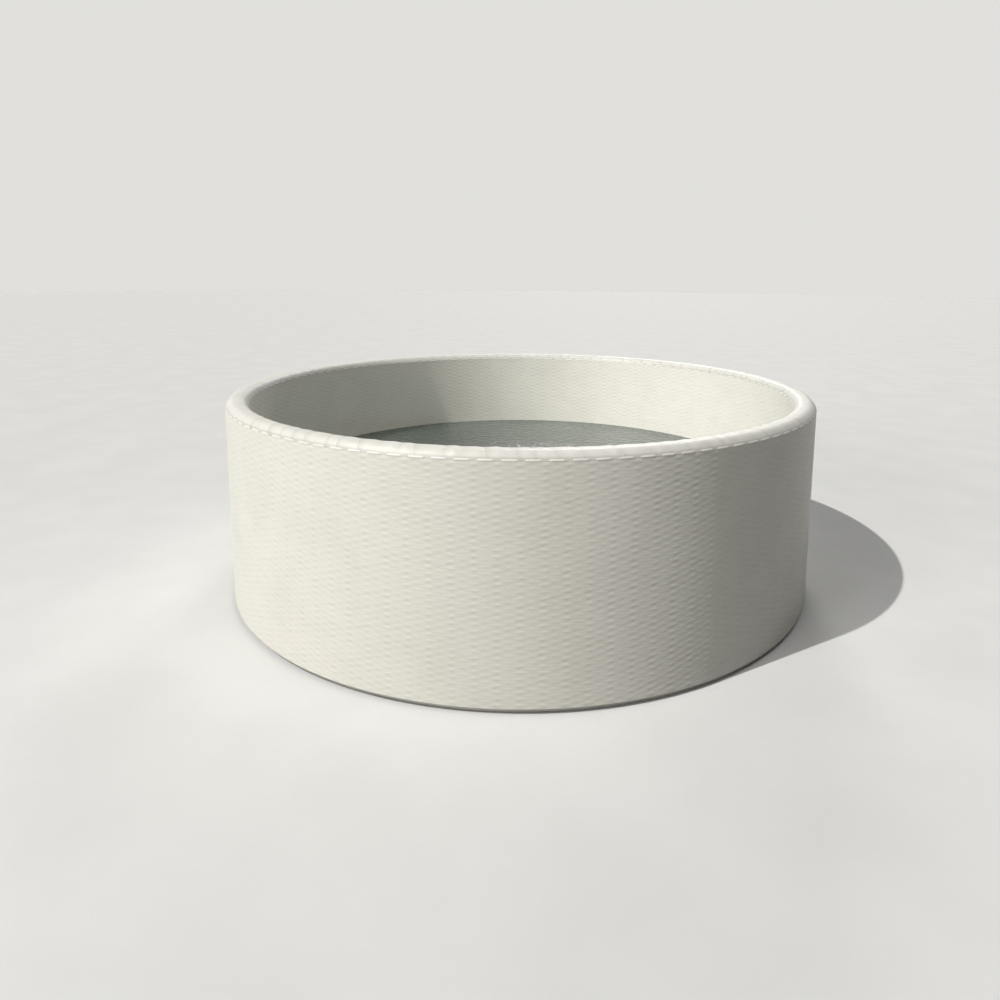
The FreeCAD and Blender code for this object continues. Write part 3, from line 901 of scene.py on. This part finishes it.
def set_on_places_tree():
    """Copies of one small shape, upright, one on each point of a mesh of places."""
    tree, given, out = shape_tree("set_on_places", [
        ("Shape", "NodeSocketObject", None),
        ("Places", "NodeSocketObject", None),
        ("Material", "NodeSocketMaterial", None),
    ])
    shape, places = [tree.nodes.new("GeometryNodeObjectInfo") for _ in range(2)]
    tree.links.new(given["Shape"], shape.inputs["Object"])
    tree.links.new(given["Places"], places.inputs["Object"])
    copies = tree.nodes.new("GeometryNodeInstanceOnPoints")
    tree.links.new(places.outputs["Geometry"], copies.inputs["Points"])
    tree.links.new(shape.outputs["Geometry"], copies.inputs["Instance"])
    put_out(tree, copies.outputs[0], given, out)
    return tree


def reach_at_port(node, way):
    """How far a fitting reaches at one port: outwards, to its side and up, as low and high ends."""
    side = Vector((-way.y, way.x, 0.0))
    places = [(vert.co.dot(way), vert.co.dot(side), vert.co.z) for vert in nodes[node].data.vertices]
    places = [place for place in places if place[0] > abs(place[1])]
    return [min(ends) for ends in zip(*places)], [max(ends) for ends in zip(*places)]


screw_radius = 0.0023
screw_height = 0.0012
screw_inset = 0.0034
cross_ring, cross_middle = 0.6, 0.24
cross_depth = 0.6
head_rings = [(1.0, 0.0), (1.0, 0.45), (0.86, 0.85), (cross_ring, 1.0), (cross_middle, 1.0)]
head_sides = 16
bm = bmesh.new()
rings = []
for share, rise in head_rings:
    ring = []
    for side in range(head_sides):
        in_cross = share == cross_middle or (share == cross_ring and side % 4 == 0)
        height = screw_height * (rise - (cross_depth if in_cross else 0.0))
        turn = 2 * math.pi * side / head_sides
        reach = screw_radius * share
        ring.append(bm.verts.new((reach * math.cos(turn), reach * math.sin(turn), height)))
    rings.append(ring)
skinned(bm, rings)
bm.faces.new(rings[-1])
bm.faces.new(rings[0])
bmesh.ops.recalc_face_normals(bm, faces=bm.faces)
screw_shape = small_shape("screw_shape", bm)

bm = bmesh.new()
for way in (suction_way, return_way):
    low, high = reach_at_port("gate_valve_bonnets", way)
    side_way = Vector((-way.y, way.x, 0.0))
    for out_place in (low[0] + screw_inset, high[0] - screw_inset):
        for side_place in (low[1] + screw_inset, high[1] - screw_inset):
            bm.verts.new(way * out_place + side_way * side_place + Vector((0.0, 0.0, high[2])))
screw_places = small_shape("screw_places", bm)
bright_steel = steel_finish("screw_steel", (0.50, 0.50, 0.51), (0.66, 0.66, 0.67), 0.25)
grown(
    "bonnet_screws", set_on_places_tree(), "pool", "spring_steel",
    Shape=screw_shape, Places=screw_places, Material=bright_steel,
)


# Inflation valve: a plastic housing through the outer skin, with a sprung poppet that
# seals from inside and a hinged cap that keeps dirt out.

steel = steel_finish("spring_steel", (0.42, 0.42, 0.43), (0.62, 0.62, 0.63), 0.3)
for node, material in (
    ("inflation_valve_body", grey_plastic), ("inflation_valve_nut", grey_plastic),
    ("inflation_valve_poppet", pale_plastic), ("inflation_valve_cap", grey_plastic),
    ("inflation_valve_hinge_pin", steel),
):
    dressed(node, material)


# Return spring: a coil of steel wire round the poppet's stem, with closed ends, held
# between the bridge and the button.

wire_radius = 0.0006
coil_turns = 6.5
closed_share = 0.12
coil_steps = 18
wire_sides = 8
spring_low, spring_high = reach_at_port("inflation_valve_spring", valve_way)
coil_radius = (spring_high[2] - spring_low[2]) / 2 - wire_radius
coil_start, coil_stop = spring_low[0] + wire_radius, spring_high[0] - wire_radius
spring_side = Vector((-valve_way.y, valve_way.x, 0.0))
bm = bmesh.new()
rings = []
coil_count = int(coil_turns * coil_steps)
for step in range(coil_count + 1):
    share = step / coil_count
    even = min(max((share - closed_share) / (1 - 2 * closed_share), 0.0), 1.0)
    turn = 2 * math.pi * coil_turns * share
    reached = (1 - closed_share) * even + closed_share * share
    advance = coil_start + (coil_stop - coil_start) * reached
    outward = spring_side * math.cos(turn) + Vector((0.0, 0.0, math.sin(turn)))
    middle = valve_way * advance + Vector((0.0, 0.0, valve_height)) + outward * coil_radius
    ring = []
    for side in range(wire_sides):
        around = 2 * math.pi * side / wire_sides
        away = outward * math.cos(around) + valve_way * math.sin(around)
        ring.append(bm.verts.new(middle + away * wire_radius))
    rings.append(ring)
skinned(bm, rings)
bm.faces.new(rings[0])
bm.faces.new(rings[-1])
bmesh.ops.recalc_face_normals(bm, faces=bm.faces)
coil = piece_of("return_spring_coil", bm, steel)
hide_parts("inflation_valve_spring")


# Water: still, slightly green and about half the wall deep. Its face carries fine
# ripples and climbs a hair up the wall. Only its upper layer is made, above the ports.

water_level = 0.370
water_layer = 0.060
water_radius = inside_radius - 0.0012
swell_rise = 0.00035
edge_rise, edge_width = 0.0012, 0.004
ring_count = 40
surface_rings = [water_radius * (index / ring_count) ** 0.9 for index in range(ring_count)]
surface_rings += [water_radius - edge_width, water_radius]


def ripple(radius, angle, index):
    """The small swell of nearly still water, and its creep up the wall."""
    if index == 0 or index >= len(surface_rings):
        return 0.0, 0.0
    if index == len(surface_rings) - 1:
        return 0.0, edge_rise
    x, y = radius * math.cos(angle), radius * math.sin(angle)
    swell = math.sin(9.0 * x + 2.0 * y) + math.sin(6.5 * y - 3.1 * x + 1.3)
    swell += math.sin(13.0 * x - 8.0 * y + 0.6)
    return 0.0, swell_rise * swell


water_outline = [(radius, water_level) for radius in surface_rings]
water_outline += [(water_radius, water_level - water_layer), (0.0, water_level - water_layer)]
water_finish, tree, shader, place = finish_of("still_water")
cloudy = fade(tree, noise(tree, place, 2.2), 0.35, 0.65)
coloured(tree, shader, cloudy, (0.06, 0.085, 0.077), (0.09, 0.115, 0.105))
shader.inputs["Roughness"].default_value = 0.03
# Real water has an index of 1.33. The higher one gives the strong mirror of the photograph.
shader.inputs["IOR"].default_value = 2.4
raised(tree, shader, noise(tree, place, 36.0), 0.008)
piece_of("pool_water", lathe(water_outline, 240, shift=ripple), water_finish)


# Floor, lamps and camera: a pale studio floor that runs into a background of its own
# tone, a high lamp on the left, low ones beside it, weak ones above and behind, and an
# even sky. The camera was fitted to the photograph.

def looking_rays(tree):
    """A mask of the rays that show a thing: straight, mirrored or through glass."""
    ray = tree.nodes.new("ShaderNodeLightPath").outputs
    mask = calc(tree, "MAXIMUM", ray["Is Glossy Ray"], ray["Is Transmission Ray"])
    return calc(tree, "MAXIMUM", ray["Is Camera Ray"], mask)


floor_radius = 40.0
floor_middle = 4.0
studio_floor_mesh = bpy.data.meshes.new("studio_floor")
floor_bm = lathe([(0.0, 0.0), (floor_middle, 0.0), (floor_radius, 0.0)], 96, closed=False)
floor_bm.to_mesh(studio_floor_mesh)
floor_bm.free()
studio_floor = bpy.data.objects.new("studio_floor", studio_floor_mesh)
scene.collection.objects.link(studio_floor)
floor_finish, tree, shader, place = finish_of("studio_floor_paint")
mottle = fade(tree, noise(tree, place, 3.0), 0.3, 0.7, 0.95, 1.0)
shown = calc(tree, "MULTIPLY", looking_rays(tree), mottle)
coloured(tree, shader, shown, (0.18, 0.18, 0.176), (0.74, 0.74, 0.73))
shader.inputs["Roughness"].default_value = 0.8
shader.inputs["Specular IOR Level"].default_value = 0.2
studio_floor_mesh.materials.append(floor_finish)


def lamp_from(name, kind, azimuth, elevation, distance, power, colour, **settings):
    """A lamp that faces the pool."""
    lamp = bpy.data.lights.new(name, kind)
    lamp.energy = power
    lamp.color = colour
    for setting, value in settings.items():
        setattr(lamp, setting, value)
    holder = bpy.data.objects.new(name, lamp)
    scene.collection.objects.link(holder)
    turn, rise = math.radians(azimuth), math.radians(elevation)
    way = Vector((math.cos(rise) * math.cos(turn), math.cos(rise) * math.sin(turn), math.sin(rise)))
    holder.location = way * distance
    holder.rotation_euler = way.to_track_quat("Z", "Y").to_euler()


lamp_from("key_lamp", "SUN", 210, 50, 8.0, 2.4, (1.0, 0.988, 0.96), angle=math.radians(0.8))
lamp_from("wide_lamp", "SUN", 221, 16, 8.0, 0.78, (1.0, 0.99, 0.97), angle=math.radians(22))
lamp_from("near_lamp", "AREA", 240, 20, 3.4, 8.6, (1.0, 0.99, 0.97), size=1.8)
lamp_from("top_lamp", "SUN", 340, 78, 8.0, 0.45, (1.0, 0.99, 0.97), angle=math.radians(20))
lamp_from("back_lamp", "SUN", 80, 30, 8.0, 0.7, (1.0, 0.99, 0.97), angle=math.radians(16))
sky = bpy.data.worlds.new("studio_sky")
sky.use_nodes = True
tree = sky.node_tree
background = tree.nodes["Background"]
backdrop = blended(tree, looking_rays(tree), (0.070, 0.071, 0.073), (0.750, 0.743, 0.721))
join(tree, backdrop, background.inputs["Color"])
scene.world = sky

view_distance = 2.6081 * wall_radius
view_height = 1.0607 * wall_radius
view_pitch, view_yaw, view_roll = 0.1451, 0.0075, 0.0068
frame_side = 1000.0
focal_pixels = 724.83
middle_x, middle_y = 527.34, 376.14
ahead = Vector((
    math.sin(view_yaw) * math.cos(view_pitch),
    math.cos(view_yaw) * math.cos(view_pitch),
    -math.sin(view_pitch),
))
level_right = ahead.cross(Vector((0, 0, 1))).normalized()
level_up = level_right.cross(ahead)
right = level_right * math.cos(view_roll) + level_up * math.sin(view_roll)
up = level_up * math.cos(view_roll) - level_right * math.sin(view_roll)
lens = bpy.data.cameras.new("view")
lens.sensor_width = 36.0
lens.lens = focal_pixels / frame_side * lens.sensor_width
lens.shift_x = (frame_side / 2 - middle_x) / frame_side
lens.shift_y = (middle_y - frame_side / 2) / frame_side
camera = bpy.data.objects.new("view", lens)
scene.collection.objects.link(camera)
turned = Matrix((right, up, -ahead)).transposed().to_4x4()
camera.matrix_world = Matrix.Translation((0.0, -view_distance, view_height)) @ turned
scene.camera = camera
scene.view_settings.view_transform = "Standard"
